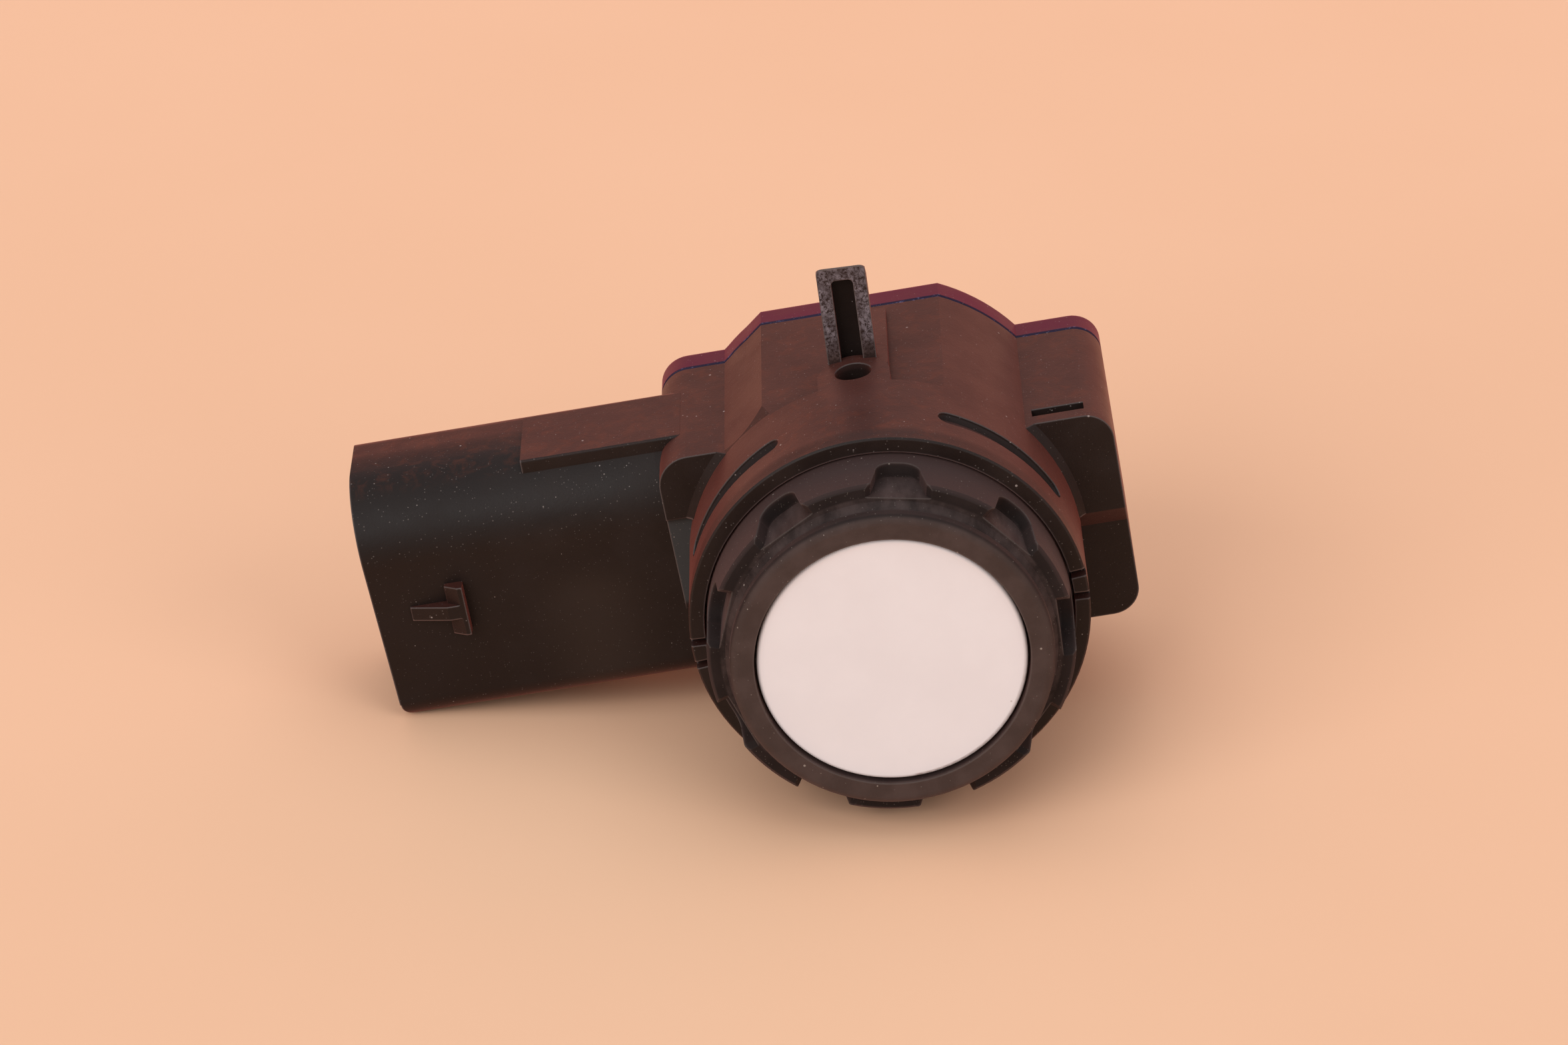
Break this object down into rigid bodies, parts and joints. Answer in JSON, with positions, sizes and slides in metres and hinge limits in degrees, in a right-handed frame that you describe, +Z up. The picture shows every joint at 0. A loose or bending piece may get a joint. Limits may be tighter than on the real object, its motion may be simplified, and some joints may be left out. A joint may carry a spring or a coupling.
{
  "type": "parking sensor",
  "caption": "Ultrasonic parking sensor: round pale sensing face in a castellated rubber ring, black barrel housing with a locating tab, and a socket on one side.",
  "frame": {"origin": "on the sensor axis, in the plane of the barrel's front rim", "axes": "the sensing face looks along -Y, the locating tab stands up along +Z and the connector's mouth opens along -X"},
  "size_m": [0.0457, 0.0282, 0.0296],
  "materials": {
    "black_plastic": "glass-filled moulding, fine satin grain",
    "maroon_plastic": "laser-welded lid, satin",
    "painted_aluminium": "pale satin paint",
    "black_rubber": "matt silicone rubber",
    "piezo_ceramic": "ceramic with silver electrodes",
    "grey_foam": "closed-cell foam",
    "grey_silicone": "matt",
    "red_insulation": "smooth",
    "dark_insulation": "smooth",
    "green_laminate": "solder resist on glass laminate",
    "chip_resin": "moulded resin",
    "bobbin_plastic": "moulded",
    "copper_wire": "enamelled wire",
    "ferrite": "ground ferrite",
    "bare_aluminium": "drawn can",
    "capacitor_ceramic": "fired ceramic",
    "resistor_film": "coated chip",
    "tinned_brass": "tin plated"
  },
  "bodies": {
    "root": {"housing": "black_plastic", "rear_cover": "maroon_plastic", "membrane_cup": "painted_aluminium", "decoupling_ring": "black_rubber", "piezo_disc": "piezo_ceramic", "damping_pad": "grey_foam", "seat_ring": "grey_silicone", "lead_signal": "red_insulation", "lead_ground": "dark_insulation", "circuit_board": "green_laminate", "control_chip": "chip_resin", "transformer_bobbin": "bobbin_plastic", "transformer_winding": "copper_wire", "transformer_core": "ferrite", "buffer_capacitor": "bare_aluminium", "chip_capacitor_1": "capacitor_ceramic", "chip_capacitor_2": "capacitor_ceramic", "chip_capacitor_3": "capacitor_ceramic", "chip_capacitor_4": "capacitor_ceramic", "chip_resistor_1": "resistor_film", "chip_resistor_2": "resistor_film", "chip_resistor_3": "resistor_film", "diode": "chip_resin", "pin_supply": "tinned_brass", "pin_signal": "tinned_brass", "pin_ground": "tinned_brass"}
  },
  "joints": []
}
